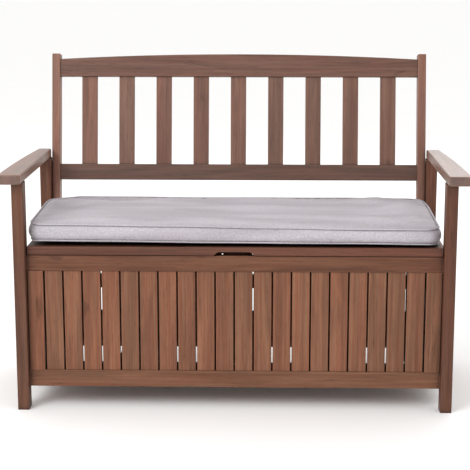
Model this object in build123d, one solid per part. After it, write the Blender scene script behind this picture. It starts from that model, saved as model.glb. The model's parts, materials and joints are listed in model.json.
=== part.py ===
from build123d import *
import os
from math import cos, radians, sin, tan

# Garden storage bench for two: a slatted box with a hinged lid, arms, a leaning slatted back and a loose cushion.
# Millimetres. X runs along the bench, -Y is the front and Z is up. The origin is on the floor, under the middle
# of the overall box. "left" means -X and "right" means +X, as seen from the front.

# ---- driving dimensions ----
WIDTH = 1200
DEPTH = 600
HEIGHT = 900
SEAT_TOP = 436
ARM_TOP = 630
RECLINE = 10

# sections
LEG_WIDTH = 30
LEG_DEPTH = 42
PANEL_THICK = 18
SLAT_THICK = 12
LID_THICK = 22
ARM_THICK = 25
POST_WIDTH = 23.4
POST_DEPTH = 39
BACK_RAIL_THICK = 24
BACK_SLAT_THICK = 14

# edge rounding
EASE = 2.5
SLAT_EASE = 1.5
ARM_EASE = 4

# legs: the arms overhang them outwards and forwards
ARM_OVERHANG = 30
LEG_OUT = WIDTH / 2 - ARM_OVERHANG
LEG_IN = LEG_OUT - LEG_WIDTH
LEG_SPACING = 440
FRONT_LEG_Y = -DEPTH / 2 + ARM_OVERHANG
REAR_LEG_Y = FRONT_LEG_Y + LEG_SPACING
LEG_TOP = ARM_TOP - ARM_THICK
FRONT_LEG_BACK = FRONT_LEG_Y + LEG_DEPTH
REAR_LEG_BACK = REAR_LEG_Y + LEG_DEPTH

# box: panels of two rails with vertical slats let into them
BOX_BOTTOM = 58
BOTTOM_RAIL = 45
TOP_RAIL = 43
LID_GAP = 0.5
LID_BOTTOM = SEAT_TOP - LID_THICK
BOX_TOP = LID_BOTTOM - LID_GAP
RAIL_TOP_Z = (BOX_TOP - TOP_RAIL, BOX_TOP)
RAIL_BOTTOM_Z = (BOX_BOTTOM, BOX_BOTTOM + BOTTOM_RAIL)
TONGUE = 8
SLAT_GAP = 4
FRONT_Y = (FRONT_LEG_BACK - PANEL_THICK, FRONT_LEG_BACK)
FRONT_SLATS = 20
FRONT_STILE = 42
SIDE_X = (LEG_IN, LEG_IN + PANEL_THICK)
SIDE_SLATS = 8
REAR_Y = (REAR_LEG_Y - PANEL_THICK, REAR_LEG_Y)
REAR_SLATS = 11
REAR_SLAT_WIDTH = 84.4
REAR_BOTTOM_RAIL = 105
STRETCHER_Z = (226, 266)
STRETCHER_THICK = 20
TENON_LENGTH = 18
TENON_HEIGHT = 16
TENON_RISE = 10

# floor of the box: wide boards front to back, with open spaces between them
FLOOR_Z = 85
FLOOR_THICK = 12
FLOOR_PITCH = 257
FLOOR_BOARD = 124
FLOOR_EDGE_BOARD = 80
BEARER_THICK = 20
FRONT_BEARER = 125
REAR_BEARER = 40

# back: everything lies in one leaning frame, whose local Z runs up the posts and local Y through them
POST_FOOT_Z = 395
LOWER_RAIL_Z = (541, 586)
UPPER_RAIL_Z = (835, 885)
CROWN_Z = 899
BACK_RAIL_INSET = 4
BACK_SLATS = 9
BACK_SLAT_WIDTH = 44.4
BACK_SLAT_PITCH = 107.9
POST_IN = LEG_IN - POST_WIDTH
POST_TENON = 14
POST_ROUNDING = EASE * (cos(radians(RECLINE)) + sin(radians(RECLINE)) - 1)
BACK_FRONT_Y = DEPTH / 2 + POST_ROUNDING - POST_DEPTH * cos(radians(RECLINE))
BACK_FOOT_Y = BACK_FRONT_Y - HEIGHT * tan(radians(RECLINE))

# arm outline: straight inside edge, bowed outside edge that starts straight and narrows to the rear
ARM_IN = LEG_IN + 1
ARM_REAR_Y = REAR_LEG_BACK - 2
ARM_REAR_OUT = 578
ARM_CORNER = 8

# lid: five long boards on three cross battens
LID_SIDE_GAP = 3
LID_X = LEG_IN - LID_SIDE_GAP
LID_FRONT = FRONT_Y[0] - 4
LID_REAR = REAR_Y[0] - 3
LID_BOARDS = 5
LID_BOARD_GAP = 4.5
BATTEN_X = (-380, 0, 380)
BATTEN_WIDTH = 40
BATTEN_THICK = 18
BATTEN_Y = (FRONT_Y[1] + 8, REAR_Y[0] - 6)
NOTCH_TOP = 83
NOTCH_BOTTOM = 108
NOTCH_HEIGHT = 10
NOTCH_DEPTH = 30
NOTCH_ROUNDING = 6

# hinges: two flat butt hinges on top of the lid and the rear rail
HINGE_X = (-330, 330)
HINGE_LENGTH = 60
HINGE_THICK = 2
KNUCKLE_R = 3.5
KNUCKLES = 5
KNUCKLE_GAP = 0.3
PIN_R = 2
PIN_CLEARANCE = 0.05
HINGE_Y = (LID_REAR + REAR_Y[0]) / 2
HINGE_Z = SEAT_TOP + KNUCKLE_R
FIXED_LEAF = 16.5
LID_LEAF = 28
LEAF_SCREW_SHARE = 0.6

# fasteners
BOLT_R = 3
BOLT_HEAD_R = 6
BOLT_HEAD = 4
SOCKET_R = 2.3
SOCKET_DEPTH = 2.5
HOLE_CLEARANCE = 0.3
THREAD_CLEARANCE = 0.1
NUT_R = 5
NUT_LENGTH = 14
NUT_INSET = 20
INSERT_NUT = 13
POST_BOLT_PLACES = [(196, 420), (203, 515)]
POST_BOLT_SHORT = 4
DOWEL_R = 4
DOWEL_IN_LEG = 20
DOWEL_IN_ARM = 15
SCREW_R = 1.75
SCREW_HEAD_R = 3.5
SCREW_HEAD = 2
SCREW_CLEARANCE = 0.1

# cushion
CUSHION_X = (-538, 537)
CUSHION_Y = (LID_FRONT + 5, 138)
CUSHION_Z = (SEAT_TOP + 3, 497)
CUSHION_CORNER = 34
CUSHION_REAR_RIGHT_CORNER = 75
CUSHION_EDGE = 22

LEFTWARD, RIGHTWARD = (-1, 0, 0), (1, 0, 0)
FORWARD, BACKWARD = (0, -1, 0), (0, 1, 0)
DOWN, UP = (0, 0, -1), (0, 0, 1)


# ---- small shapes ----
def block(xs, ys, zs):
    """A plain box between the given ends along X, Y and Z."""
    size = [high - low for low, high in (xs, ys, zs)]
    middle = [(high + low) / 2 for low, high in (xs, ys, zs)]
    return Pos(*middle) * Box(*size)


def board(xs, ys, zs, ease=EASE):
    """A box whose long edges are rounded, as planed timber is."""
    size = [high - low for low, high in (xs, ys, zs)]
    grain = (Axis.X, Axis.Y, Axis.Z)[size.index(max(size))]
    plank = block(xs, ys, zs)
    return fillet(plank.edges().filter_by(grain), ease)


def rod(start, direction, radius, length):
    """A cylinder that begins at start and runs along direction."""
    low_end = (Align.CENTER, Align.CENTER, Align.MIN)
    return Plane(origin=start, z_dir=direction) * Cylinder(radius, length, align=low_end)


def along(start, direction, distance):
    """The point at that distance from start."""
    return tuple(Vector(start) + Vector(direction) * distance)


def mirrored(part):
    """The same piece on the other side of the bench."""
    return mirror(part, about=Plane.YZ)


def group(solids):
    """Identical loose pieces that share one node."""
    return Compound(children=list(solids))


# ---- fasteners ----
def bolt(head, direction, length):
    """A furniture bolt whose head starts at the point head; the length includes the head."""
    shank = rod(along(head, direction, BOLT_HEAD), direction, BOLT_R, length - BOLT_HEAD)
    socket = Plane(origin=head, z_dir=direction) * extrude(RegularPolygon(SOCKET_R, 6), SOCKET_DEPTH)
    return rod(head, direction, BOLT_HEAD_R, BOLT_HEAD) + shank - socket


def bolt_hole(head, direction, length):
    """The counterbored hole that a bolt goes into."""
    seat = rod(head, direction, BOLT_HEAD_R + HOLE_CLEARANCE, BOLT_HEAD)
    return seat + rod(head, direction, BOLT_R + HOLE_CLEARANCE, length + 1)


def nut_hole(mouth, direction):
    """The blind hole of a barrel nut."""
    return rod(mouth, direction, NUT_R + HOLE_CLEARANCE, NUT_LENGTH)


def barrel_nut(mouth, direction, bolt_axis_depth):
    """A barrel nut flush with its mouth, bored across for the bolt that comes along X."""
    crossing = along(mouth, direction, bolt_axis_depth)
    bore = rod(along(crossing, LEFTWARD, 2 * NUT_R), RIGHTWARD, BOLT_R + THREAD_CLEARANCE, 4 * NUT_R)
    return rod(mouth, direction, NUT_R, NUT_LENGTH) - bore


def screw(head, direction, length, clearance=0):
    """A countersunk wood screw, or with a clearance the hole for one."""
    low_end = (Align.CENTER, Align.CENTER, Align.MIN)
    cone = Cone(SCREW_HEAD_R + clearance, SCREW_R + clearance, SCREW_HEAD, align=low_end)
    shank = rod(head, direction, SCREW_R + clearance, length + clearance)
    return Plane(origin=head, z_dir=direction) * cone + shank


def screw_hole(head, direction, length):
    return screw(head, direction, length, SCREW_CLEARANCE)


# ---- where the fasteners of the right-hand side go ----
FRONT_BOLT_Y = sum(FRONT_Y) / 2
REAR_BOLT_Y = sum(REAR_Y) / 2
RAIL_MIDDLE_Z = [sum(rail) / 2 for rail in (RAIL_BOTTOM_Z, RAIL_TOP_Z)]
FRONT_BOLT_LENGTH = LEG_WIDTH + NUT_INSET + 2 * NUT_R
REAR_BOLT_LENGTH = PANEL_THICK + NUT_INSET + 2 * NUT_R
FRONT_BOLTS = [(LEG_OUT, FRONT_BOLT_Y, z - TENON_RISE) for z in RAIL_MIDDLE_Z]
REAR_BOLTS = [(SIDE_X[1], REAR_BOLT_Y, z) for z in RAIL_MIDDLE_Z]
POST_BOLTS = [(LEG_OUT, y, z) for y, z in POST_BOLT_PLACES]
POST_BOLT_LENGTH = LEG_WIDTH + POST_WIDTH - POST_BOLT_SHORT


def panel_holes(side):
    """Bolt and barrel nut holes in one end, side 1 or -1, of the front and rear rails."""
    inward = (-side, 0, 0)
    for x, y, z in FRONT_BOLTS:
        yield bolt_hole((side * x, y, z), inward, FRONT_BOLT_LENGTH)
        yield nut_hole((side * (LEG_IN - NUT_INSET), FRONT_Y[1], z), FORWARD)
    for x, y, z in REAR_BOLTS:
        yield bolt_hole((side * x, y, z), inward, REAR_BOLT_LENGTH)
        yield nut_hole((side * (LEG_IN - NUT_INSET), REAR_Y[0], z), BACKWARD)


PANEL_HOLES = [hole for side in (-1, 1) for hole in panel_holes(side)]


def drilled(part):
    """The part with every panel bolt and nut hole that reaches it."""
    for hole in PANEL_HOLES:
        part = part - hole
    return part


# ---- side frames ----
def tenon(ys, rail_z, shrink=0):
    """The stub of a side rail inside a leg."""
    middle_x = sum(SIDE_X) / 2
    middle_z = sum(rail_z) / 2 + TENON_RISE
    half_x, half_z = SLAT_THICK / 2 - shrink, TENON_HEIGHT / 2 - shrink
    return block((middle_x - half_x, middle_x + half_x), ys, (middle_z - half_z, middle_z + half_z))


def leg(front, tenon_ys):
    """A right-hand leg whose front face is at Y front, with mortises for the side rails and a dowel hole."""
    part = board((LEG_IN, LEG_OUT), (front, front + LEG_DEPTH), (0, LEG_TOP))
    for rail_z in (RAIL_BOTTOM_Z, RAIL_TOP_Z):
        part = part - tenon(tenon_ys, rail_z)
    hole_bottom = ((LEG_IN + LEG_OUT) / 2, front + LEG_DEPTH / 2, LEG_TOP - DOWEL_IN_LEG)
    return part - rod(hole_bottom, UP, DOWEL_R + HOLE_CLEARANCE, DOWEL_IN_LEG)


def front_leg():
    part = leg(FRONT_LEG_Y, (FRONT_LEG_BACK - TENON_LENGTH, FRONT_LEG_BACK))
    return drilled(part)


def rear_leg():
    part = leg(REAR_LEG_Y, (REAR_LEG_Y, REAR_LEG_Y + TENON_LENGTH))
    for head in POST_BOLTS:
        part = part - bolt_hole(head, LEFTWARD, POST_BOLT_LENGTH)
    return part


def side_rail(rail_z, groove_z):
    """A right-hand side rail with a tenon at each end and a groove for the slats."""
    part = board(SIDE_X, (FRONT_LEG_BACK, REAR_LEG_Y), rail_z)
    part = part + tenon((FRONT_LEG_BACK - TENON_LENGTH, FRONT_LEG_BACK), rail_z)
    part = part + tenon((REAR_LEG_Y, REAR_LEG_Y + TENON_LENGTH), rail_z)
    middle = sum(SIDE_X) / 2
    groove_x = (middle - SLAT_THICK / 2, middle + SLAT_THICK / 2)
    groove_y = (FRONT_LEG_BACK + SLAT_GAP, REAR_LEG_Y - SLAT_GAP)
    return drilled(part - block(groove_x, groove_y, groove_z))


def tongue_span(lower_rail_z, upper_rail_z):
    """Z ends of a slat whose tongues go into both rails."""
    return (lower_rail_z[1] - TONGUE, upper_rail_z[0] + TONGUE)


LOWER_GROOVE = (RAIL_BOTTOM_Z[1] - TONGUE, RAIL_BOTTOM_Z[1])
UPPER_GROOVE = (RAIL_TOP_Z[0], RAIL_TOP_Z[0] + TONGUE)


def side_slats():
    """The row of slats in a right-hand side panel."""
    length = REAR_LEG_Y - FRONT_LEG_BACK
    width = (length - (SIDE_SLATS + 1) * SLAT_GAP) / SIDE_SLATS
    middle = sum(SIDE_X) / 2
    xs = (middle - SLAT_THICK / 2, middle + SLAT_THICK / 2)
    zs = tongue_span(RAIL_BOTTOM_Z, RAIL_TOP_Z)
    starts = [FRONT_LEG_BACK + SLAT_GAP + i * (width + SLAT_GAP) for i in range(SIDE_SLATS)]
    return [board(xs, (start, start + width), zs, SLAT_EASE) for start in starts]


def armrest():
    """The right-hand arm, bored underneath for the dowels of both legs."""
    front = -DEPTH / 2
    with BuildSketch(Plane.XY.offset(LEG_TOP)) as outline:
        with BuildLine():
            Polyline((WIDTH / 2, front), (ARM_IN, front), (ARM_IN, ARM_REAR_Y), (ARM_REAR_OUT, ARM_REAR_Y))
            TangentArc((WIDTH / 2, front), (ARM_REAR_OUT, ARM_REAR_Y), tangent=BACKWARD)
        make_face()
        fillet(outline.vertices(), ARM_CORNER)
    part = extrude(outline.sketch, ARM_THICK)
    rims = part.faces().sort_by(Axis.Z)
    part = fillet(rims[0].edges() + rims[-1].edges(), ARM_EASE)
    for front_y in (FRONT_LEG_Y, REAR_LEG_Y):
        mouth = ((LEG_IN + LEG_OUT) / 2, front_y + LEG_DEPTH / 2, LEG_TOP)
        part = part - rod(mouth, UP, DOWEL_R + HOLE_CLEARANCE, DOWEL_IN_ARM)
    return part


# ---- front, rear and floor of the box ----
def front_rail(rail_z, groove_z):
    middle = sum(FRONT_Y) / 2
    groove_y = (middle - SLAT_THICK / 2, middle + SLAT_THICK / 2)
    groove_x = FRONT_STILE - LEG_IN, LEG_IN - FRONT_STILE
    return drilled(board((-LEG_IN, LEG_IN), FRONT_Y, rail_z) - block(groove_x, groove_y, groove_z))


def front_slats():
    inner = LEG_IN - FRONT_STILE
    width = (2 * inner - (FRONT_SLATS + 1) * SLAT_GAP) / FRONT_SLATS
    middle = sum(FRONT_Y) / 2
    ys = (middle - SLAT_THICK / 2, middle + SLAT_THICK / 2)
    zs = tongue_span(RAIL_BOTTOM_Z, RAIL_TOP_Z)
    starts = [SLAT_GAP - inner + i * (width + SLAT_GAP) for i in range(FRONT_SLATS)]
    return [board((start, start + width), ys, zs, SLAT_EASE) for start in starts]


def front_stile():
    return board((LEG_IN - FRONT_STILE, LEG_IN), FRONT_Y, (RAIL_BOTTOM_Z[1], RAIL_TOP_Z[0]))


REAR_RAIL_Z = (BOX_BOTTOM, BOX_BOTTOM + REAR_BOTTOM_RAIL)
HINGE_RAIL_Z = (RAIL_TOP_Z[0], SEAT_TOP)
REAR_PITCH = REAR_SLAT_WIDTH + SLAT_GAP
REAR_STILE_IN = REAR_SLATS / 2 * REAR_PITCH + SLAT_GAP / 2


def rear_rail(rail_z, rabbet_z):
    """A rail of the rear panel; the slats lie in a rabbet along its outer face."""
    rabbet_x = (-REAR_STILE_IN, REAR_STILE_IN)
    rabbet_y = (REAR_Y[1] - SLAT_THICK, REAR_Y[1])
    return drilled(board((-LEG_IN, LEG_IN), REAR_Y, rail_z) - block(rabbet_x, rabbet_y, rabbet_z))


def rear_slats():
    ys = (REAR_Y[1] - SLAT_THICK, REAR_Y[1])
    zs = tongue_span(REAR_RAIL_Z, HINGE_RAIL_Z)
    starts = [SLAT_GAP / 2 + (i - REAR_SLATS / 2) * REAR_PITCH for i in range(REAR_SLATS)]
    return [board((start, start + REAR_SLAT_WIDTH), ys, zs, SLAT_EASE) for start in starts]


def rear_stile():
    return board((REAR_STILE_IN, LEG_IN), REAR_Y, (REAR_RAIL_Z[1], HINGE_RAIL_Z[0]))


def floor_spans():
    """X ends of the floor boards: three whole ones and a narrow one against each side."""
    for i in (-1, 0, 1):
        yield (i * FLOOR_PITCH - FLOOR_BOARD / 2, i * FLOOR_PITCH + FLOOR_BOARD / 2)
    for side in (-1, 1):
        yield tuple(sorted((side * LEG_IN, side * (LEG_IN - FLOOR_EDGE_BOARD))))


FLOOR_SPANS = list(floor_spans())
BEARERS = {"front": (FRONT_Y[1], FRONT_Y[1] + FRONT_BEARER), "rear": (REAR_Y[0] - REAR_BEARER, REAR_Y[0])}
FLOOR_TOP = FLOOR_Z + FLOOR_THICK
FLOOR_SCREW_LENGTH = 26
FLOOR_SCREWS = [
    (sum(span) / 2, sum(bearer) / 2, FLOOR_TOP) for span in FLOOR_SPANS for bearer in BEARERS.values()
]


def floor_pieces():
    """Two bearers and the boards across them, drilled for their screws."""
    parts = {}
    holes = [screw_hole(head, DOWN, FLOOR_SCREW_LENGTH) for head in FLOOR_SCREWS]
    for name, ys in BEARERS.items():
        bearer = board((-LEG_IN, LEG_IN), ys, (FLOOR_Z - BEARER_THICK, FLOOR_Z))
        parts[f"floor_bearer_{name}"] = bearer - holes
    boards = [board(xs, (FRONT_Y[1], REAR_Y[0]), (FLOOR_Z, FLOOR_TOP)) - holes for xs in FLOOR_SPANS]
    parts["floor_boards"] = group(boards)
    parts["floor_screws"] = group(screw(head, DOWN, FLOOR_SCREW_LENGTH) for head in FLOOR_SCREWS)
    return parts


# ---- leaning back ----
LEAN = Location((0, BACK_FOOT_Y, 0), (-RECLINE, 0, 0))


def up_post(z):
    """Distance up the leaning front plane to the height z."""
    return z / cos(radians(RECLINE))


LOWER_RAIL = tuple(up_post(z) for z in LOWER_RAIL_Z)
UPPER_RAIL = tuple(up_post(z) for z in UPPER_RAIL_Z)
BACK_RAIL_Y = (BACK_RAIL_INSET, BACK_RAIL_INSET + BACK_RAIL_THICK)
BACK_MIDDLE_Y = sum(BACK_RAIL_Y) / 2


def back_tenon(x_in, x_out, rail):
    """A rail's stub inside a post, in the leaning frame."""
    ys = (BACK_MIDDLE_Y - SLAT_THICK / 2, BACK_MIDDLE_Y + SLAT_THICK / 2)
    return block((x_in, x_out), ys, (rail[0] + TONGUE, rail[1] - TONGUE))


def back_slat_blanks(ease):
    """Every back slat in the leaning frame, or its mortise when nothing is eased."""
    ys = (BACK_MIDDLE_Y - BACK_SLAT_THICK / 2, BACK_MIDDLE_Y + BACK_SLAT_THICK / 2)
    zs = (LOWER_RAIL[1] - TONGUE, UPPER_RAIL[0] + TONGUE)
    for i in range(BACK_SLATS):
        middle = (i - (BACK_SLATS - 1) / 2) * BACK_SLAT_PITCH
        xs = (middle - BACK_SLAT_WIDTH / 2, middle + BACK_SLAT_WIDTH / 2)
        yield board(xs, ys, zs, ease) if ease else block(xs, ys, zs)


def crowned_blank(rail, crown):
    """The top rail without its joints, in the leaning frame: its top edge rises to crown in the middle."""
    with BuildSketch(Plane.XZ.offset(-BACK_RAIL_Y[0])) as face:
        with BuildLine():
            Polyline((-POST_IN, rail[1]), (-POST_IN, rail[0]), (POST_IN, rail[0]), (POST_IN, rail[1]))
            ThreePointArc((POST_IN, rail[1]), (0, crown), (-POST_IN, rail[1]))
        make_face()
    part = extrude(face.sketch, -BACK_RAIL_THICK)
    ends = part.faces().filter_by(Axis.X).edges()
    return fillet([edge for edge in part.edges() if edge not in ends], EASE)


def back_rail(blank, rail):
    """A back rail with its end tenons and the mortises of the slats."""
    for side in (-1, 1):
        inner, outer = sorted((side * POST_IN, side * (POST_IN + POST_TENON)))
        blank = blank + back_tenon(inner, outer, rail)
    return LEAN * (blank - list(back_slat_blanks(0)))


def back_rails():
    lower = board((-POST_IN, POST_IN), BACK_RAIL_Y, LOWER_RAIL)
    upper = crowned_blank(UPPER_RAIL, up_post(CROWN_Z))
    return {"back_lower_rail": back_rail(lower, LOWER_RAIL), "back_top_rail": back_rail(upper, UPPER_RAIL)}


def back_post():
    """The right-hand post, with mortises for both rails and the holes that bolt it to the rear leg."""
    zs = (up_post(POST_FOOT_Z), up_post(HEIGHT))
    part = board((POST_IN, LEG_IN), (0, POST_DEPTH), zs)
    top = part.faces().sort_by(Axis.Z)[-1]
    part = fillet(top.edges(), EASE)
    for rail in (LOWER_RAIL, UPPER_RAIL):
        part = part - back_tenon(POST_IN, POST_IN + POST_TENON, rail)
    part = LEAN * part
    for head in POST_BOLTS:
        part = part - bolt_hole(head, LEFTWARD, POST_BOLT_LENGTH)
        part = part - rod((POST_IN, head[1], head[2]), RIGHTWARD, NUT_R + HOLE_CLEARANCE, INSERT_NUT)
    return part


# ---- lid and hinges ----
LID_BOARD_WIDTH = (LID_REAR - LID_FRONT - (LID_BOARDS - 1) * LID_BOARD_GAP) / LID_BOARDS
LID_STARTS = [LID_FRONT + i * (LID_BOARD_WIDTH + LID_BOARD_GAP) for i in range(LID_BOARDS)]
LID_SCREW_LENGTH = 30
LID_SCREWS = [
    (x, start + LID_BOARD_WIDTH / 2, LID_BOTTOM - BATTEN_THICK) for x in BATTEN_X for start in LID_STARTS
]
LEAF_SCREW_LENGTH = 14
LEAF_SCREW_X = (-HINGE_LENGTH / 3, 0, HINGE_LENGTH / 3)
LEAF_TOP = SEAT_TOP + HINGE_THICK
FIXED_SCREW_Y = HINGE_Y + FIXED_LEAF * LEAF_SCREW_SHARE
LID_SCREW_Y = HINGE_Y - LID_LEAF * LEAF_SCREW_SHARE
FIXED_LEAF_SCREWS = [(x + dx, FIXED_SCREW_Y, LEAF_TOP) for x in HINGE_X for dx in LEAF_SCREW_X]
LID_LEAF_SCREWS = [(x + dx, LID_SCREW_Y, LEAF_TOP) for x in HINGE_X for dx in LEAF_SCREW_X]


def finger_notch():
    """The hollow under the front edge of the lid, wider at its mouth than at its roof."""
    mouth, roof_edge = NOTCH_BOTTOM / 2, NOTCH_TOP / 2
    corners = [(-mouth, 0), (mouth, 0), (roof_edge, NOTCH_HEIGHT), (-roof_edge, NOTCH_HEIGHT)]
    front = Plane(origin=(0, LID_FRONT, LID_BOTTOM), x_dir=RIGHTWARD, z_dir=FORWARD)
    hollow = extrude(front * make_face(Polyline(*corners, close=True)), -NOTCH_DEPTH)
    roof = hollow.edges().filter_by(Axis.Y).sort_by(Axis.Z)[-2:]
    return fillet(roof, NOTCH_ROUNDING)


def lid_pieces():
    """Boards and battens of the lid, with the screws that join them."""
    holes = [screw_hole(head, UP, LID_SCREW_LENGTH) for head in LID_SCREWS]
    leaf_holes = [screw_hole(head, DOWN, LEAF_SCREW_LENGTH) for head in LID_LEAF_SCREWS]
    parts = {}
    for number, start in enumerate(LID_STARTS, 1):
        plank = board((-LID_X, LID_X), (start, start + LID_BOARD_WIDTH), (LID_BOTTOM, SEAT_TOP))
        if number == 1:
            plank = plank - finger_notch()
        if number == LID_BOARDS:
            plank = plank - leaf_holes
        parts[f"lid_board_{number}"] = plank - holes
    zs = (LID_BOTTOM - BATTEN_THICK, LID_BOTTOM)
    battens = [board((x - BATTEN_WIDTH / 2, x + BATTEN_WIDTH / 2), BATTEN_Y, zs) - holes for x in BATTEN_X]
    parts["lid_battens"] = group(battens)
    parts["lid_screws"] = group(screw(head, UP, LID_SCREW_LENGTH) for head in LID_SCREWS)
    return parts


def hinge_leaf(middle_x, side, width, knuckle_numbers):
    """One leaf on side 1, the rear rail, or -1, the lid, with the knuckles of the given numbers."""
    pitch = HINGE_LENGTH / KNUCKLES
    low_x = middle_x - HINGE_LENGTH / 2
    xs = (low_x, low_x + HINGE_LENGTH)
    ys = tuple(sorted((HINGE_Y, HINGE_Y + side * width)))
    leaf = block(xs, ys, (SEAT_TOP, LEAF_TOP))
    for number in range(KNUCKLES):
        start = (low_x + number * pitch, HINGE_Y, HINGE_Z)
        if number in knuckle_numbers:
            knuckle_start = along(start, RIGHTWARD, KNUCKLE_GAP / 2)
            leaf = leaf + rod(knuckle_start, RIGHTWARD, KNUCKLE_R, pitch - KNUCKLE_GAP)
        else:
            leaf = leaf - rod(start, RIGHTWARD, KNUCKLE_R + KNUCKLE_GAP, pitch)
    return leaf - rod((low_x, HINGE_Y, HINGE_Z), RIGHTWARD, PIN_R + PIN_CLEARANCE, HINGE_LENGTH)


def hinge_pieces():
    """Leaves, pins and screws; the even knuckles belong to the fixed leaf."""
    even, odd = range(0, KNUCKLES, 2), range(1, KNUCKLES, 2)
    fixed_holes = [screw_hole(head, DOWN, LEAF_SCREW_LENGTH) for head in FIXED_LEAF_SCREWS]
    lid_holes = [screw_hole(head, DOWN, LEAF_SCREW_LENGTH) for head in LID_LEAF_SCREWS]
    return {
        "hinge_leaves_fixed": group(hinge_leaf(x, 1, FIXED_LEAF, even) - fixed_holes for x in HINGE_X),
        "hinge_leaves_lid": group(hinge_leaf(x, -1, LID_LEAF, odd) - lid_holes for x in HINGE_X),
        "hinge_pins": group(
            rod((x - HINGE_LENGTH / 2, HINGE_Y, HINGE_Z), RIGHTWARD, PIN_R, HINGE_LENGTH) for x in HINGE_X
        ),
        "hinge_screws_fixed": group(screw(head, DOWN, LEAF_SCREW_LENGTH) for head in FIXED_LEAF_SCREWS),
        "hinge_screws_lid": group(screw(head, DOWN, LEAF_SCREW_LENGTH) for head in LID_LEAF_SCREWS),
    }


def hinge_rail():
    holes = [screw_hole(head, DOWN, LEAF_SCREW_LENGTH) for head in FIXED_LEAF_SCREWS]
    return rear_rail(HINGE_RAIL_Z, UPPER_GROOVE) - holes


# ---- cushion ----
def cushion():
    """The loose seat pad: a box with soft edges and rounded corners, the rear right one the roundest."""
    pad = block(CUSHION_X, CUSHION_Y, CUSHION_Z)
    corners = pad.edges().filter_by(Axis.Z).sort_by(lambda edge: edge.center().X + edge.center().Y)
    pad = fillet(corners[-1], CUSHION_REAR_RIGHT_CORNER)
    corners = pad.edges().filter_by(Axis.Z).sort_by(lambda edge: edge.center().X + edge.center().Y)
    pad = fillet(corners[:3], CUSHION_CORNER)
    faces = pad.faces().sort_by(Axis.Z)
    return fillet(faces[0].edges() + faces[-1].edges(), CUSHION_EDGE)


# ---- loose fasteners of both sides ----
def both_sides(right_hand):
    """The solids of the right-hand side and their mirror images."""
    solids = list(right_hand)
    return group(solids + [mirrored(solid) for solid in solids])


def fasteners():
    nut_x = LEG_IN - NUT_INSET
    dowel_x = (LEG_IN + LEG_OUT) / 2
    front_nuts = [barrel_nut((nut_x, FRONT_Y[1], z), FORWARD, PANEL_THICK / 2) for _, _, z in FRONT_BOLTS]
    rear_nuts = [barrel_nut((nut_x, REAR_Y[0], z), BACKWARD, PANEL_THICK / 2) for _, _, z in REAR_BOLTS]
    insert_bore = BOLT_R + THREAD_CLEARANCE
    inserts = []
    for _, y, z in POST_BOLTS:
        barrel = rod((POST_IN, y, z), RIGHTWARD, NUT_R, INSERT_NUT)
        inserts.append(barrel - rod((POST_IN, y, z), RIGHTWARD, insert_bore, INSERT_NUT))
    dowel_foot = LEG_TOP - DOWEL_IN_LEG
    dowel_length = DOWEL_IN_LEG + DOWEL_IN_ARM
    dowels = [
        rod((dowel_x, front_y + LEG_DEPTH / 2, dowel_foot), UP, DOWEL_R, dowel_length)
        for front_y in (FRONT_LEG_Y, REAR_LEG_Y)
    ]
    return {
        "front_panel_bolts": both_sides(bolt(head, LEFTWARD, FRONT_BOLT_LENGTH) for head in FRONT_BOLTS),
        "rear_panel_bolts": both_sides(bolt(head, LEFTWARD, REAR_BOLT_LENGTH) for head in REAR_BOLTS),
        "panel_barrel_nuts": both_sides(front_nuts + rear_nuts),
        "back_post_bolts": both_sides(bolt(head, LEFTWARD, POST_BOLT_LENGTH) for head in POST_BOLTS),
        "back_post_insert_nuts": both_sides(inserts),
        "arm_dowels": both_sides(dowels),
    }


def both_nodes(name, right_hand):
    """The right-hand piece and its mirror image as two nodes."""
    return {f"{name}_right": right_hand, f"{name}_left": mirrored(right_hand)}


def build():
    """Every node of the bench by name."""
    parts = {}
    parts.update(both_nodes("front_leg", front_leg()))
    parts.update(both_nodes("rear_leg", rear_leg()))
    parts.update(both_nodes("armrest", armrest()))
    parts.update(both_nodes("side_top_rail", side_rail(RAIL_TOP_Z, UPPER_GROOVE)))
    parts.update(both_nodes("side_bottom_rail", side_rail(RAIL_BOTTOM_Z, LOWER_GROOVE)))
    parts.update(both_nodes("side_slats", group(side_slats())))
    parts["front_top_rail"] = front_rail(RAIL_TOP_Z, UPPER_GROOVE)
    parts["front_bottom_rail"] = front_rail(RAIL_BOTTOM_Z, LOWER_GROOVE)
    parts["front_slats"] = group(front_slats())
    parts.update(both_nodes("front_stile", front_stile()))
    parts["hinge_rail"] = hinge_rail()
    parts["rear_bottom_rail"] = rear_rail(REAR_RAIL_Z, (REAR_RAIL_Z[1] - TONGUE, REAR_RAIL_Z[1]))
    parts["rear_slats"] = group(rear_slats())
    parts.update(both_nodes("rear_stile", rear_stile()))
    stretcher_y = (REAR_LEG_Y, REAR_LEG_Y + STRETCHER_THICK)
    parts["rear_stretcher"] = board((-LEG_IN, LEG_IN), stretcher_y, STRETCHER_Z)
    parts.update(floor_pieces())
    parts.update(both_nodes("back_post", back_post()))
    parts.update(back_rails())
    for number, slat in enumerate(back_slat_blanks(SLAT_EASE), 1):
        parts[f"back_slat_{number}"] = LEAN * slat
    parts.update(lid_pieces())
    parts.update(hinge_pieces())
    parts.update(fasteners())
    parts["seat_cushion"] = cushion()
    return parts


os.makedirs("parts", exist_ok=True)
for name, part in build().items():
    export_step(part, f"parts/{name}.step")
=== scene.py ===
"""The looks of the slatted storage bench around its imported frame: stained wood, steel and a piped seat pad.

Metres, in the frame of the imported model: X runs along the bench, -Y is the front, Z is up, the floor is at 0.
"""

import json
import math

import bpy
import numpy as np
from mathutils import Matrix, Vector, noise


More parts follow.
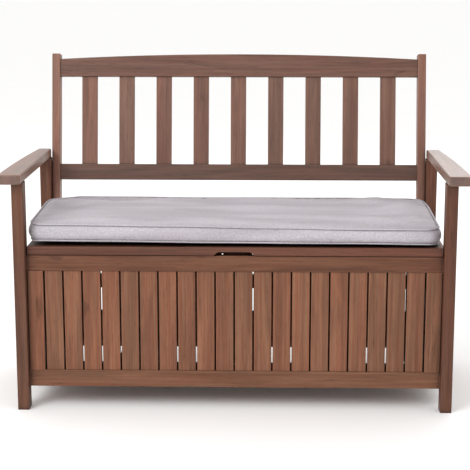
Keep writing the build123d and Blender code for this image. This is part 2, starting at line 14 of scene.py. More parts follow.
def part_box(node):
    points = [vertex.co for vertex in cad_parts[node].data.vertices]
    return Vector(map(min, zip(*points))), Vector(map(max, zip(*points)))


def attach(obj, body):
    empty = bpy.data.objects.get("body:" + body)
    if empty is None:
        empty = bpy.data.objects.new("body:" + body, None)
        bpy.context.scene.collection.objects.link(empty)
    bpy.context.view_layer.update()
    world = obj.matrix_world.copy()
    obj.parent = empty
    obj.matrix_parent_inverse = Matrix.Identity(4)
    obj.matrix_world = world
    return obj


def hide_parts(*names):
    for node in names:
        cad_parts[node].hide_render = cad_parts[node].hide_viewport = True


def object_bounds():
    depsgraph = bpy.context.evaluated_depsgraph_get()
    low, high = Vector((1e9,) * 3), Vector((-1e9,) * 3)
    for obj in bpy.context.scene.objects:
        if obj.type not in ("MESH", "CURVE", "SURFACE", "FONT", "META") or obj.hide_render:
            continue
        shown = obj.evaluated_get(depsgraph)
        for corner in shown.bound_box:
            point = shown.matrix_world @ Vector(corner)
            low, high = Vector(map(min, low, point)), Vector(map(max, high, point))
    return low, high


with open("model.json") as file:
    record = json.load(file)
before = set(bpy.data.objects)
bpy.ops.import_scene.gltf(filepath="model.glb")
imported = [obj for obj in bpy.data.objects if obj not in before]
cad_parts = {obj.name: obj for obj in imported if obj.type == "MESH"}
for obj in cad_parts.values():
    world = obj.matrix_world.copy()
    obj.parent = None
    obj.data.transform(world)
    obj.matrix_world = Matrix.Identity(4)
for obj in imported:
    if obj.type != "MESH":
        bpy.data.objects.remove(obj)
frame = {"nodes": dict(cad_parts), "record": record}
NODES = frame["nodes"]
CAD_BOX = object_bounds()
SLOT_OF = {row["node"]: row["material_slot"] for row in frame["record"]["subparts"]}
MM = 0.001

# ---- camera, light and floor ----
CAMERA_PLACE = (0.0867, -3.630, 1.149)
CAMERA_YAW = math.radians(1.43)
CAMERA_PITCH = math.radians(-11.37)
CAMERA_LENS = 102.6
WORLD_COLOUR = (1.0, 0.995, 0.985)
WORLD_STRENGTH = 1.0
KEY_LIGHT = {"place": (-2.6, -3.4, 3.0), "side": 2.2, "watts": 110}
RIM_LIGHT = {"place": (1.6, 3.6, 2.8), "side": 2.6, "watts": 40}
FLOOR_RADIUS = 120.0
FLOOR_SIDES = 96
FLOOR_TONES = ((254, 254, 254), (251, 251, 251))

# ---- wood ----
# Each slot's mean stain as sRGB, how rough its surface is and how much it shines.
WOODS = {
    "leg_wood": {"tone": (106, 68, 52), "rough": 0.48, "shine": 0.25},
    "arm_wood": {"tone": (124, 87, 71), "rough": 0.34, "shine": 0.9},
    "panel_wood": {"tone": (124, 82, 62), "rough": 0.50, "shine": 0.22},
    "back_wood": {"tone": (113, 77, 64), "rough": 0.44, "shine": 0.4},
    "lid_wood": {"tone": (96, 58, 45), "rough": 0.48, "shine": 0.25},
    "floor_wood": {"tone": (114, 76, 58), "rough": 0.55, "shine": 0.2},
    "dowel_wood": {"tone": (206, 172, 128), "rough": 0.66, "shine": 0.3},
}
RAW_WOOD = "dowel_wood"
# Boards made darker or paler than their neighbours; on the front top rail this is partly painted shadow under
# the lid's overhang.
BOARD_TONES = {
    "front_top_rail": 0.60,
    "front_bottom_rail": 0.86,
    "front_leg_left": 0.76,
    "front_leg_right": 0.70,
    "back_lower_rail": 0.66,
    "back_top_rail": 0.80,
    "back_post_left": 1.35,
    "back_post_right": 1.45,
}
# How much each figure darkens or lightens a board: the figure's low and high end, and the factor at each.
WOOD_FACTORS = {
    "fibres": (0.25, 0.75, 0.88, 1.10),
    "pores": (0.0, 1.0, 1.0, 0.62),
    "cut_ends": (0.0, 1.0, 1.0, 0.58),
    "streaks": (0.28, 0.72, 0.87, 1.13),
    "knots": (0.0, 1.0, 1.0, 0.66),
}
BAND_FACTORS = (0.80, 1.20)
BOARD_FACTORS = (0.95, 1.07)
WARM_TINT = (255, 243, 236)
COOL_TINT = (243, 255, 253)
# Rubbed edges mixed with a painted edge highlight: their share, how much lighter they are, and how far round a
# corner they reach.
EDGE_WEAR_AND_HIGHLIGHT_SHARE = 0.75
EDGE_WEAR_AND_HIGHLIGHT_FACTOR = 1.9
EDGE_WEAR_AND_HIGHLIGHT_RADIUS = 3.2 * MM
WOOD_RELIEF = 0.35 * MM
# How far the painted shade in cracks, gaps and seams reaches.
CRACK_REACH = 14 * MM
LEANING = "back_"
RECLINE = math.radians(10)
BOARD_GAP = 4 * MM
AXES = "XYZ"


class Shader:
    """A material's node tree, with one short call for each kind of node that is used more than once."""

    def __init__(self, name):
        self.material = bpy.data.materials.new(name)
        self.material.use_nodes = True
        self.tree = self.material.node_tree
        self.surface = self.tree.nodes["Principled BSDF"]

    def feed(self, socket, value):
        """Links a node's output to the socket, or gives the socket a plain value."""
        if isinstance(value, bpy.types.NodeSocket):
            self.tree.links.new(value, socket)
        else:
            socket.default_value = value

    def node(self, kind, inputs=(), **settings):
        """A node with these settings, its inputs given by name or number."""
        made = self.tree.nodes.new(kind)
        for key, value in settings.items():
            setattr(made, key, value)
        for socket, value in dict(inputs).items():
            self.feed(made.inputs[socket], value)
        return made

    def coordinate(self, output):
        return self.node("ShaderNodeTexCoord").outputs[output]

    def split(self, vector):
        return self.node("ShaderNodeSeparateXYZ", {0: vector}).outputs

    def join(self, x, y, z):
        return self.node("ShaderNodeCombineXYZ", {0: x, 1: y, 2: z}).outputs[0]

    def math(self, operation, *values):
        made = self.node("ShaderNodeMath", enumerate(values), operation=operation)
        return made.outputs[0]

    def vector_math(self, operation, *values):
        made = self.node("ShaderNodeVectorMath", enumerate(values), operation=operation)
        return made.outputs["Value" if operation in ("DOT_PRODUCT", "LENGTH") else "Vector"]

    def scaled(self, vector, x, y, z):
        return self.vector_math("MULTIPLY", vector, (x, y, z))

    def noise(self, vector, scale=1.0, detail=2.0, distortion=0.0):
        inputs = {"Vector": vector, "Scale": scale, "Detail": detail, "Distortion": distortion}
        return self.node("ShaderNodeTexNoise", inputs).outputs["Fac"]

    def step(self, value, low, high, to_low=0.0, to_high=1.0):
        """A smooth change from to_low to to_high while the value goes from low to high."""
        inputs = {"Value": value, "From Min": low, "From Max": high, "To Min": to_low, "To Max": to_high}
        return self.node("ShaderNodeMapRange", inputs, interpolation_type="SMOOTHSTEP").outputs["Result"]

    def mix(self, share, first, second, how="MIX"):
        made = self.node("ShaderNodeMix", data_type="RGBA", blend_type=how, clamp_result=False)
        for socket, value in zip((made.inputs[0], made.inputs[6], made.inputs[7]), (share, first, second)):
            self.feed(socket, value)
        return made.outputs[2]

    def grey(self, value):
        return self.node("ShaderNodeCombineColor", {0: value, 1: value, 2: value}).outputs[0]

    def bump(self, height, distance, strength=1.0):
        inputs = {"Height": height, "Distance": distance, "Strength": strength}
        return self.node("ShaderNodeBump", inputs).outputs[0]

    def finish(self, **sockets):
        """Feeds the surface shader's sockets, named with _ for a space, and returns the material."""
        for name, value in sockets.items():
            self.feed(self.surface.inputs[name.replace("_", " ")], value)
        return self.material


def linear(colour, factor=1.0):
    """An sRGB colour of 0 to 255 as linear RGBA, made lighter or darker by a factor."""
    levels = [level / 255 for level in colour]
    values = [level / 12.92 if level <= 0.04045 else ((level + 0.055) / 1.055) ** 2.4 for level in levels]
    return (*[value * factor for value in values], 1.0)


# ---- wood material ----
def board_space(shader, grain, across, leaning):
    """Coordinates with Z along the grain, moved by a random amount on each board, and the board's numbers."""
    place = shader.coordinate("Object")
    if leaning:
        inputs = {"Vector": place, "Axis": (1, 0, 0), "Angle": RECLINE}
        place = shader.node("ShaderNodeVectorRotate", inputs).outputs[0]
    parts = shader.split(place)
    first, second = (parts[axis] for axis in AXES if axis != grain)
    own = {
        name: shader.node("ShaderNodeAttribute", attribute_type="OBJECT", attribute_name=name).outputs["Fac"]
        for name in ("board_seed", "board_start", "board_pitch", "board_tone")
    }
    from_start = shader.math("SUBTRACT", parts[across], own["board_start"])
    number = shader.math("FLOOR", shader.math("DIVIDE", from_start, own["board_pitch"]))
    seed = shader.math("ADD", number, own["board_seed"])
    random = shader.node("ShaderNodeTexWhiteNoise", {"W": seed}, noise_dimensions="1D").outputs["Color"]
    shift = shader.scaled(random, 3.0, 5.0, 7.0)
    along = shader.join(first, second, parts[grain])
    return shader.vector_math("ADD", along, shift), random, own["board_tone"]


def wood_figure(shader, space):
    """Broad growth bands, fine fibres, short pores, streaks of stain and small knots, each from 0 to 1."""
    warp = shader.noise(shader.scaled(space, 7.0, 7.0, 0.9), detail=3.0)
    stretched = shader.scaled(space, 46.0, 30.0, 1.6)
    bent = shader.vector_math("ADD", stretched, shader.scaled(shader.grey(warp), 7.0, 7.0, 0.0))
    bands = shader.noise(bent, detail=4.0, distortion=0.35)
    fibres = shader.noise(shader.scaled(space, 620.0, 620.0, 11.0), detail=3.0)
    pore_field = shader.noise(shader.scaled(space, 900.0, 900.0, 26.0), detail=1.0)
    streaks = shader.noise(shader.scaled(space, 170.0, 170.0, 3.2), detail=4.0)
    knot_field = shader.noise(shader.scaled(space, 21.0, 21.0, 8.0), detail=2.0)
    return {
        "bands": bands,
        "fibres": fibres,
        "pores": shader.step(pore_field, 0.60, 0.74),
        "streaks": streaks,
        "knots": shader.step(knot_field, 0.68, 0.76),
    }


def end_grain(shader, grain, leaning):
    """1 on faces cut across the grain, 0 along it."""
    direction = [float(axis == grain) for axis in AXES]
    if leaning and grain == "Z":
        direction = [0.0, math.sin(RECLINE), math.cos(RECLINE)]
    facing = shader.vector_math("DOT_PRODUCT", shader.coordinate("Normal"), tuple(direction))
    return shader.step(shader.math("ABSOLUTE", facing), 0.72, 0.92)


def painted_crack_shade(shader):
    """A factor of painted shade that darkens where surfaces meet or lie close together, 1 in the open."""
    inputs = {"Distance": CRACK_REACH}
    openness = shader.node("ShaderNodeAmbientOcclusion", inputs, samples=6).outputs["AO"]
    return shader.step(openness, 0.30, 0.95, 0.10, 1.0)


def worn_edge_and_highlight(shader, space):
    """1 on corners: stain rubbed thin, and a painted highlight of light on the rounded edge, patchy along their
    length.
    """
    rounded = shader.node("ShaderNodeBevel", {"Radius": EDGE_WEAR_AND_HIGHLIGHT_RADIUS}, samples=4).outputs[0]
    flat = shader.node("ShaderNodeNewGeometry").outputs["Normal"]
    turned = shader.math("SUBTRACT", 1.0, shader.vector_math("DOT_PRODUCT", rounded, flat))
    corner = shader.step(turned, 0.01, 0.16)
    patch_field = shader.noise(shader.scaled(space, 60.0, 60.0, 9.0), detail=3.0)
    return shader.math("MULTIPLY", corner, shader.step(patch_field, 0.38, 0.62, 0.25, 1.0))


def wood(slot, grain, across, leaning):
    """Stained, lightly oiled acacia, or raw beech for the dowels."""
    shader = Shader(f"{slot}_{grain}{across}{'_leaning' if leaning else ''}")
    look = WOODS[slot]
    tone = look["tone"]
    space, random, own_tone = board_space(shader, grain, across, leaning)
    figure = wood_figure(shader, space)
    figure["cut_ends"] = end_grain(shader, grain, leaning)

    band_colours = (linear(tone, factor) for factor in BAND_FACTORS)
    colour = shader.mix(shader.step(figure["bands"], 0.32, 0.68), *band_colours)
    tint_chance, tone_chance = shader.split(random)[:2]
    tint_place = shader.math("MULTIPLY_ADD", tint_chance, 0.18, figure["streaks"])
    tint = shader.mix(shader.step(tint_place, 0.40, 0.78), linear(WARM_TINT), linear(COOL_TINT))
    colour = shader.mix(1.0, colour, tint, "MULTIPLY")
    # Each board's random tone times its own factor, which on the front top rail is partly painted shadow.
    tone_and_painted_shade = shader.math("MULTIPLY", shader.step(tone_chance, 0.0, 1.0, *BOARD_FACTORS), own_tone)
    for name, span in WOOD_FACTORS.items():
        tone_and_painted_shade = shader.math("MULTIPLY", tone_and_painted_shade, shader.step(figure[name], *span))
    # Painted shade in the gaps and joints where boards meet.
    tone_and_painted_shade = shader.math("MULTIPLY", tone_and_painted_shade, painted_crack_shade(shader))
    colour = shader.mix(1.0, colour, shader.grey(tone_and_painted_shade), "MULTIPLY")
    # Rubbed stain and a painted highlight along the board corners.
    if slot != RAW_WOOD:
        wear_and_highlight = shader.math("MULTIPLY", worn_edge_and_highlight(shader, space), EDGE_WEAR_AND_HIGHLIGHT_SHARE)
        colour = shader.mix(wear_and_highlight, colour, linear(tone, EDGE_WEAR_AND_HIGHLIGHT_FACTOR))

    dull = shader.math("ADD", shader.math("MULTIPLY", figure["fibres"], 0.16), look["rough"] - 0.08)
    dull = shader.math("ADD", dull, shader.math("MULTIPLY", figure["cut_ends"], 0.2))
    height = shader.math("SUBTRACT", shader.math("MULTIPLY", figure["fibres"], 0.5), figure["pores"])
    height = shader.math("ADD", height, shader.math("MULTIPLY", figure["bands"], 0.35))
    return shader.finish(
        Base_Color=colour,
        Roughness=dull,
        Normal=shader.bump(height, WOOD_RELIEF, 0.6),
        Specular_IOR_Level=look["shine"],
    )


# ---- steel and cloth materials ----
ZINC_TONES = ((150, 150, 148), (196, 196, 192))
CLOTH_TONE = (168, 161, 167)
CLOTH_FACTORS = (0.72, 1.20)
PALE_FLECK = (222, 217, 224)
DARK_FLECK = (122, 115, 124)
CLOTH_DRIFT = ((186, 176, 180), (190, 188, 198))
THREAD = 1.25 * MM
THREAD_RELIEF = 0.4 * MM


def zinc_steel():
    """Zinc-plated steel: cloudy plating, fine drawing marks and a little dulling."""
    shader = Shader("zinc_steel")
    place = shader.coordinate("Object")
    clouds = shader.noise(place, scale=240.0, detail=4.0)
    marks = shader.noise(shader.scaled(place, 1.0, 12.0, 12.0), scale=420.0, detail=2.0)
    colour = shader.mix(shader.step(clouds, 0.35, 0.65), *(linear(tone) for tone in ZINC_TONES))
    dull = shader.math("ADD", shader.math("MULTIPLY", clouds, 0.22), shader.math("MULTIPLY", marks, 0.18))
    return shader.finish(
        Base_Color=colour,
        Metallic=0.95,
        Roughness=shader.math("ADD", dull, 0.14),
        Normal=shader.bump(marks, 0.05 * MM, 0.5),
    )


def cloth():
    """Plain-woven melange polyester: over-and-under threads with slubs, flecks and soft clouds, and painted
    shade at its seams and folds.
    """
    shader = Shader("pad_cloth")
    x, y, z = shader.split(shader.coordinate("Object"))
    facing = shader.split(shader.coordinate("Normal"))[2]
    upright = shader.math("LESS_THAN", shader.math("ABSOLUTE", facing), 0.55)
    across = shader.math("MULTIPLY_ADD", upright, y, x)
    rise = shader.math("MULTIPLY", upright, z)
    run = shader.math("MULTIPLY_ADD", shader.math("SUBTRACT", 1.0, upright), y, rise)

    turns = math.pi / THREAD
    warp = shader.math("SINE", shader.math("MULTIPLY", across, turns))
    weft = shader.math("SINE", shader.math("MULTIPLY", run, turns))
    weave = shader.math("MULTIPLY_ADD", shader.math("MULTIPLY", warp, weft), 0.5, 0.5)
    flat = shader.join(across, run, 0.0)
    slub_across = shader.noise(shader.scaled(flat, 55.0, 620.0, 1.0), detail=2.0)
    slub_along = shader.noise(shader.scaled(flat, 620.0, 55.0, 1.0), detail=2.0)
    speckle = shader.noise(flat, scale=270.0, detail=3.0)
    slubs = shader.math("MULTIPLY_ADD", slub_across, slub_along, shader.math("MULTIPLY", weave, 0.12))
    broad = shader.noise(flat, scale=9.0, detail=2.0)

    slub_colours = (linear(CLOTH_TONE, factor) for factor in CLOTH_FACTORS)
    colour = shader.mix(shader.step(slubs, 0.12, 0.50), *slub_colours)
    for fleck, start, full in ((PALE_FLECK, 0.54, 0.66), (DARK_FLECK, 0.46, 0.34)):
        share = shader.math("MULTIPLY", shader.step(speckle, start, full), 0.6)
        colour = shader.mix(share, colour, linear(fleck))
    colour = shader.mix(0.5, colour, shader.mix(broad, *(linear(tone) for tone in CLOTH_DRIFT)))
    # Soft clouds of tone that also stand in for uneven shading on the top, times painted shade at the piping
    # and in the folds.
    clouds = shader.noise(shader.scaled(flat, 3.0, 16.0, 1.0), detail=1.0)
    tone_and_painted_shade = shader.math("MULTIPLY", shader.step(clouds, 0.3, 0.7, 0.86, 1.07), painted_crack_shade(shader))
    colour = shader.mix(1.0, colour, shader.grey(tone_and_painted_shade), "MULTIPLY")
    height = shader.math("MULTIPLY_ADD", slubs, 1.4, weave)
    return shader.finish(
        Base_Color=colour,
        Roughness=shader.step(speckle, 0.3, 0.7, 0.86, 0.98),
        Normal=shader.bump(height, THREAD_RELIEF, 0.55),
        Sheen_Weight=0.12,
        Sheen_Roughness=0.5,
    )


# ---- CAD pieces get their materials ----
# Nodes that hold a row of boards: the boards' grain, the axis that the row runs along and how many there are.
ROWS = {
    "front_slats": ("Z", "X", 20),
    "rear_slats": ("Z", "X", 11),
    "side_slats_left": ("Z", "Y", 8),
    "side_slats_right": ("Z", "Y", 8),
    "lid_battens": ("Y", "X", 3),
    "floor_boards": ("Y", "X", 5),
    "arm_dowels": ("Z", "X", 2),
}
# More than the boards of any one node, so that no two boards get the same random numbers.
SEED_STEP = 40


def set_board_numbers(piece, name, across, count, seed):
    """Gives the piece the numbers by which its material tells one board from the next."""
    low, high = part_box(name)
    axis = AXES.index(across)
    gap = BOARD_GAP if count > 1 else 0.0
    piece["board_start"] = low[axis] - gap / 2
    piece["board_pitch"] = (high[axis] - low[axis] + gap) / count
    piece["board_seed"] = float(seed)
    piece["board_tone"] = BOARD_TONES.get(name, 1.0)


def finish_cad_pieces():
    """A better material on every CAD piece, with its own stretch of grain on each board."""
    made = {"zinc_steel": zinc_steel(), "cushion_fabric": cloth()}
    for seed, (name, piece) in enumerate(sorted(NODES.items())):
        slot = SLOT_OF[name]
        key = slot
        if slot in WOODS:
            low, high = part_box(name)
            size = list(high - low)
            longest = AXES[size.index(max(size))]
            narrowest = AXES[size.index(min(size))]
            grain, across, count = ROWS.get(name, (longest, narrowest, 1))
            set_board_numbers(piece, name, across, count, SEED_STEP * seed)
            key = (slot, grain, across, name.startswith(LEANING))
            if key not in made:
                made[key] = wood(*key)
        piece.data.materials.clear()
        piece.data.materials.append(made[key])
    return made


# ---- seat pad ----
PAD = "seat_cushion"
PIPING_R = 2.9 * MM
PIPING_OUT = 0.3 * PIPING_R
# The coarse mesh: its corners, its grid cells and the rows of faces down its band.
CORNER_R = 36 * MM
CORNER_CELLS = 5
CELL = 9 * MM
BAND_ROWS = 6
# Heights of the seams over the pad's underside, each as (left, right), and how far they wander from them.
FRONT_SEAM = (54 * MM, 42 * MM)
REAR_SEAM = (62 * MM, 60 * MM)
LOW_SEAM = (11 * MM, 5 * MM)
TOP_WANDER = 0.6 * MM
LOW_WANDER = 0.4 * MM
# The two waves of a wandering seam: strength, radians along the pad, share of the phase, radians a metre back.
WAVES = ((1.0, 9, 1, 6), (0.6, 23, 2, 9))
# How the filling rounds the pad.
SEAM_INSET = 7.5 * MM
BAND_BULGE = 10.0 * MM
CROWN = 4 * MM
BELLY_REACH = 70 * MM
UNDERSIDE_LIFT = 0.6 * MM
# The rear right corner is tucked in; the rear left one is eased (forwards, down) past the back post.
REAR_RIGHT_TUCK = 24 * MM
TUCK_REACH = 0.15
POST_EASE = (13 * MM, 5 * MM)
POST_REACH = 0.09
# The cloth simulation, and how far it may move a point.
SIM_FRAMES = 20
LARGEST_MOVE = 6 * MM
CLOTH_SETTINGS = {
    "quality": 6,
    "mass": 0.25,
    "tension_stiffness": 22,
    "compression_stiffness": 12,
    "shear_stiffness": 4,
    "bending_stiffness": 0.8,
    "shrink_min": -0.012,
    "use_pressure": True,
    "uniform_pressure_force": 4.0,
}
# Folds that fan out from each corner of the top.
FOLD_COUNT = 9
FOLD_PHASE = 1.7
FOLD_REACH = 0.34
FOLD_DEPTH = 4.0 * MM
# Slow and quick hollows in the top: noise cells a metre along and across it, their slice and their depth.
HOLLOWS = ((5.0, 13.0, 0.3, 6.0 * MM), (14.0, 30.0, 4.1, 1.5 * MM))
TOP_DROP = 2.0 * MM


def grid_line(low, high):
    """Places of the grid lines from low to high, closer together in the corners."""
    inner_low, inner_high = low + CORNER_R, high - CORNER_R
    cells = round((inner_high - inner_low) / CELL)
    start = np.linspace(low, inner_low, CORNER_CELLS + 1)[:-1]
    middle = np.linspace(inner_low, inner_high, cells + 1)[:-1]
    end = np.linspace(inner_high, high, CORNER_CELLS + 1)
    return np.concatenate([start, middle, end])


def round_corners(x, y, centre, half):
    """Moves the points of a rectangle so that its square corners become quarter discs."""
    away = np.stack([x - centre[0], y - centre[1]])
    inner = np.array(half)[:, None, None] - CORNER_R
    past = np.clip((np.abs(away) - inner) / CORNER_R, 0, 1)
    bent = past * np.sqrt(1 - past[::-1] ** 2 / 2)
    places = np.where(past > 0, np.sign(away) * (inner + CORNER_R * bent), away)
    return places[0] + centre[0], places[1] + centre[1]


def rim_outward(rim):
    """Level unit vectors pointing out of a closed loop that runs anticlockwise from above."""
    ahead = np.roll(rim, -1, axis=0) - np.roll(rim, 1, axis=0)
    out = np.stack([ahead[:, 1], -ahead[:, 0], np.zeros(len(rim))], axis=1)
    return out / np.linalg.norm(out, axis=1)[:, None]


class PadShape:
    """The pad's mesh as a grid: a top panel, a bottom panel and the band between them."""

    def __init__(self):
        low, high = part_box(PAD)
        self.low, self.high = low, high
        xs = grid_line(low.x + SEAM_INSET, high.x - SEAM_INSET)
        ys = grid_line(low.y + SEAM_INSET, high.y - SEAM_INSET)
        self.centre = ((low.x + high.x) / 2, (low.y + high.y) / 2)
        self.half = ((high.x - low.x) / 2 - SEAM_INSET, (high.y - low.y) / 2 - SEAM_INSET)
        flat_x, flat_y = np.meshgrid(xs, ys, indexing="ij")
        self.x, self.y = round_corners(flat_x, flat_y, self.centre, self.half)
        self.x -= REAR_RIGHT_TUCK * self.rear_right() ** 2
        self.numbers = np.arange(self.x.size).reshape(self.x.shape)
        self.rim = self.rim_numbers()

    def rim_numbers(self):
        """The grid's edge points in order, anticlockwise from above."""
        n = self.numbers
        return np.concatenate([n[:-1, 0], n[-1, :-1], n[:0:-1, -1], n[0, :0:-1]])

    def rear_right(self):
        """1 at the rear right corner, falling to 0 at TUCK_REACH from it along either side."""
        from_right = np.clip(1 - (self.high.x - self.x) / TUCK_REACH, 0, 1)
        from_rear = np.clip(1 - (self.high.y - self.y) / TUCK_REACH, 0, 1)
        return np.sqrt(from_right * from_rear) * from_rear

    def share_right(self):
        """0 at the pad's left end, 1 at its right end."""
        return (self.x - self.low.x) / (self.high.x - self.low.x)

    def share_back(self):
        """0 at the pad's front edge, 1 at its rear edge."""
        return (self.y - self.low.y) / (self.high.y - self.low.y)

    def inland(self):
        """Distance of each grid point from the nearest edge."""
        across = self.half[0] - np.abs(self.x - self.centre[0])
        along = self.half[1] - np.abs(self.y - self.centre[1])
        return np.clip(np.minimum(across, along), 0, None)

    def seam(self, front, rear, wander, phase):
        """Height of a seam from its (left, right) heights at the front and at the rear, never quite level."""
        share = self.share_right()
        at_front, at_rear = (left + (right - left) * share for left, right in (front, rear))
        wave = sum(
            strength * np.sin(along * share + turn * phase + back * self.y)
            for strength, along, turn, back in WAVES
        )
        return self.low.z + at_front + (at_rear - at_front) * self.share_back() + wander * wave

    def top(self):
        """Crowned: rising quickly from the seam and then level."""
        rise = 1 - np.exp(-self.inland() / (0.35 * BELLY_REACH))
        return self.seam(FRONT_SEAM, REAR_SEAM, TOP_WANDER, 0.4) + CROWN * rise

    def bottom(self):
        """Flat on the lid in the middle, lifting towards the seam."""
        share = np.clip(self.inland() / BELLY_REACH, 0, 1)
        lift = (1 - share) ** 2
        seam = self.seam(LOW_SEAM, LOW_SEAM, LOW_WANDER, 2.0)
        return self.low.z + UNDERSIDE_LIFT + (seam - self.low.z) * lift

    def points_and_faces(self):
        """Points of the top and bottom panels and of the band's inner rows, and the faces that join them."""
        heights = (self.top(), self.bottom())
        size = self.x.size
        panels = [np.stack([self.x, self.y, z], axis=-1).reshape(-1, 3) for z in heights]
        over, under = panels[0][self.rim], panels[1][self.rim]
        out = rim_outward(over)
        rows = []
        for row in range(1, BAND_ROWS):
            share = row / BAND_ROWS
            places = over + (under - over) * share
            places += out * BAND_BULGE * math.sin(math.pi * share)
            rows.append(places)
        points = np.concatenate([*panels, *rows])

        n = self.numbers
        quads = np.stack([n[:-1, :-1], n[1:, :-1], n[1:, 1:], n[:-1, 1:]], axis=-1).reshape(-1, 4)
        count = len(self.rim)
        loops = [self.rim]
        loops += [2 * size + row * count + np.arange(count) for row in range(BAND_ROWS - 1)]
        loops.append(self.rim + size)
        faces = [quads, quads[:, ::-1] + size]
        for upper, lower in zip(loops, loops[1:]):
            faces.append(np.stack([lower, np.roll(lower, -1), np.roll(upper, -1), upper], axis=-1))
        return points, np.concatenate(faces)

    def seams(self):
        """Point numbers along the top seam and along the bottom seam."""
        return self.rim, self.rim + self.x.size


def mesh_piece(name, points, faces):
    mesh = bpy.data.meshes.new(name)
    mesh.from_pydata([tuple(point) for point in points], [], [tuple(face) for face in faces.tolist()])
    piece = bpy.data.objects.new(name, mesh)
    bpy.context.scene.collection.objects.link(piece)
    return piece


def evaluated_points(piece):
    graph = bpy.context.evaluated_depsgraph_get()
    mesh = piece.evaluated_get(graph).data
    places = np.zeros(len(mesh.vertices) * 3)
    mesh.vertices.foreach_get("co", places)
    return places.reshape(-1, 3)


def set_points(piece, points):
    piece.data.vertices.foreach_set("co", np.asarray(points, np.float32).ravel())
    piece.data.update()


def puff_up(piece, held):
    """Fills the pad with air as cloth that is held at its seams, and returns where its points end up."""
    group = piece.vertex_groups.new(name="seams")
    group.add([int(number) for number in held], 1.0, "REPLACE")
    simulation = piece.modifiers.new("puff", "CLOTH")
    settings = simulation.settings
    for key, value in CLOTH_SETTINGS.items():
        setattr(settings, key, value)
    settings.effector_weights.gravity = 0
    settings.vertex_group_mass = group.name
    simulation.collision_settings.use_collision = False
    simulation.point_cache.frame_start = 1
    simulation.point_cache.frame_end = SIM_FRAMES
    for number in range(1, SIM_FRAMES + 1):
        bpy.context.scene.frame_set(number)
    puffed = evaluated_points(piece)
    piece.modifiers.remove(simulation)
    bpy.context.scene.frame_set(1)
    return puffed


def soften_move(start, end, largest):
    """End points whose distance from their start levels off below the largest move."""
    move = end - start
    length = np.linalg.norm(move, axis=1)[:, None]
    return start + move * largest * np.tanh(length / largest) / np.maximum(length, 1e-9)


def creases(points, shape):
    """How far each point of the top rises or sinks: folds that fan out from the corners, and hollows."""
    rise = np.full(len(points), -TOP_DROP)
    corners = [(x, y) for x in (shape.low.x, shape.high.x) for y in (shape.low.y, shape.high.y)]
    for number, (x, y) in enumerate(corners):
        away = points[:, :2] - np.array([x, y])
        distance = np.linalg.norm(away, axis=1)
        angle = np.arctan2(np.abs(away[:, 1]), np.abs(away[:, 0]))
        fade = np.sin(math.pi * np.clip(distance / FOLD_REACH, 0, 1)) ** 2
        rise += FOLD_DEPTH * np.sin(FOLD_COUNT * angle + FOLD_PHASE * number) * fade
    for along, across, level, depth in HOLLOWS:
        for index, point in enumerate(points):
            rise[index] += depth * noise.noise(Vector((point[0] * along, point[1] * across, level)))
    return rise


def ease_rear_left(points, shape):
    """Moves the upper rear left corner forwards and down, clear of the back post when the lid is open."""
    left = np.clip(1 - (points[:, 0] - shape.low.x) / POST_REACH, 0, 1)
    rear = np.clip(1 - (shape.high.y - points[:, 1]) / POST_REACH, 0, 1)
    up = np.clip((points[:, 2] - shape.low.z) / (shape.high.z - shape.low.z), 0, 1)
    ease = np.sin(0.5 * math.pi * left) * np.sin(0.5 * math.pi * rear) * up
    forwards, down = POST_EASE
    points[:, 1] -= forwards * ease
    points[:, 2] -= down * ease


def shaped_pad(shape):
    """The pad after filling, kept inside its own space, with its creases."""
    points, faces = shape.points_and_faces()
    pad = mesh_piece("pad_cover", points, faces)
    held = np.concatenate(shape.seams())
    points = soften_move(points, puff_up(pad, held), LARGEST_MOVE)
    top_count = shape.x.size
    inland = np.clip(shape.inland().ravel() / (0.5 * BELLY_REACH), 0, 1)
    points[:top_count, 2] += creases(points[:top_count], shape) * inland
    points[:, 2] = np.maximum(points[:, 2], shape.low.z)
    for axis in (0, 1):
        points[:, axis] = np.clip(points[:, axis], shape.low[axis], shape.high[axis])
    ease_rear_left(points, shape)
    set_points(pad, points)
    for polygon in pad.data.polygons:
        polygon.use_smooth = True
    return pad


def subdivide(piece):
    """Applies one level of subdivision surface."""
    surface = piece.modifiers.new("smooth", "SUBSURF")
    surface.levels = 1
    surface.render_levels = 1
    graph = bpy.context.evaluated_depsgraph_get()
    fine = bpy.data.meshes.new_from_object(piece.evaluated_get(graph))
    piece.modifiers.remove(surface)
    piece.data = fine


def piping(name, places):
    """A closed cord of cloth along a seam."""
    curve = bpy.data.curves.new(name, "CURVE")
    curve.dimensions = "3D"
    curve.bevel_depth = PIPING_R
    curve.bevel_resolution = 3
    line = curve.splines.new("POLY")
    line.points.add(len(places) - 1)
    for point, place in zip(line.points, places + PIPING_OUT * rim_outward(places)):
        point.co = (*place, 1.0)
    line.use_cyclic_u = True
    piece = bpy.data.objects.new(name, curve)
    bpy.context.scene.collection.objects.link(piece)
    graph = bpy.context.evaluated_depsgraph_get()
    mesh = bpy.data.meshes.new_from_object(piece.evaluated_get(graph))
    bpy.data.objects.remove(piece)
    tube = bpy.data.objects.new(name, mesh)
    bpy.context.scene.collection.objects.link(tube)
    for polygon in mesh.polygons:
        polygon.use_smooth = True
    return tube


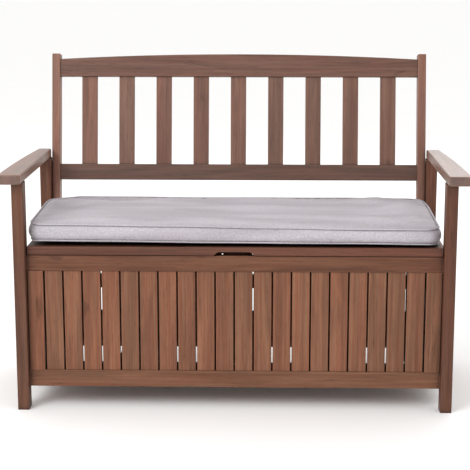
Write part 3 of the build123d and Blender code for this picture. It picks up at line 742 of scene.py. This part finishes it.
def make_pad(materials):
    """The seat pad, its piping, and what they ride on and stand for."""
    shape = PadShape()
    pad = shaped_pad(shape)
    coarse = np.array([vertex.co for vertex in pad.data.vertices])
    names = ("pad_piping_top", "pad_piping_bottom")
    pipes = [piping(name, coarse[seam]) for name, seam in zip(names, shape.seams())]
    subdivide(pad)
    for piece in (pad, *pipes):
        piece.data.materials.clear()
        piece.data.materials.append(materials["cushion_fabric"])
        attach(piece, "cushion")
    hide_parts(PAD)


# ---- stage ----
def make_floor():
    """A wide pale disc under the bench."""
    rim = [
        (FLOOR_RADIUS * math.cos(turn), FLOOR_RADIUS * math.sin(turn), 0.0)
        for turn in (2 * math.pi * side / FLOOR_SIDES for side in range(FLOOR_SIDES))
    ]
    floor = mesh_piece("floor", rim, np.arange(FLOOR_SIDES)[None])
    shader = Shader("pale_floor")
    mottle = shader.noise(shader.coordinate("Object"), scale=3.0, detail=3.0)
    colour = shader.mix(mottle, *(linear(tone) for tone in FLOOR_TONES))
    floor.data.materials.append(shader.finish(Base_Color=colour, Roughness=0.9))


def make_light(name, place, side, watts):
    """A square soft light aimed at the middle of the bench."""
    light = bpy.data.lights.new(name, "AREA")
    light.size = side
    light.energy = watts
    lamp = bpy.data.objects.new(name, light)
    lamp.location = place
    middle = (CAD_BOX[0] + CAD_BOX[1]) / 2
    lamp.rotation_euler = (middle - Vector(place)).to_track_quat("-Z", "Y").to_euler()
    bpy.context.scene.collection.objects.link(lamp)


def make_stage():
    """Floor, lights, surroundings and camera."""
    scene = bpy.context.scene
    make_floor()
    make_light("key", **KEY_LIGHT)
    make_light("rim", **RIM_LIGHT)
    world = bpy.data.worlds.new("studio")
    world.use_nodes = True
    backdrop = world.node_tree.nodes["Background"]
    backdrop.inputs["Color"].default_value = (*WORLD_COLOUR, 1.0)
    backdrop.inputs["Strength"].default_value = WORLD_STRENGTH
    scene.world = world
    scene.view_settings.view_transform = "Standard"
    lens = bpy.data.cameras.new("camera")
    lens.lens = CAMERA_LENS
    camera = bpy.data.objects.new("camera", lens)
    camera.location = CAMERA_PLACE
    camera.rotation_euler = (math.pi / 2 + CAMERA_PITCH, 0, CAMERA_YAW)
    scene.collection.objects.link(camera)
    scene.camera = camera


make_stage()
make_pad(finish_cad_pieces())
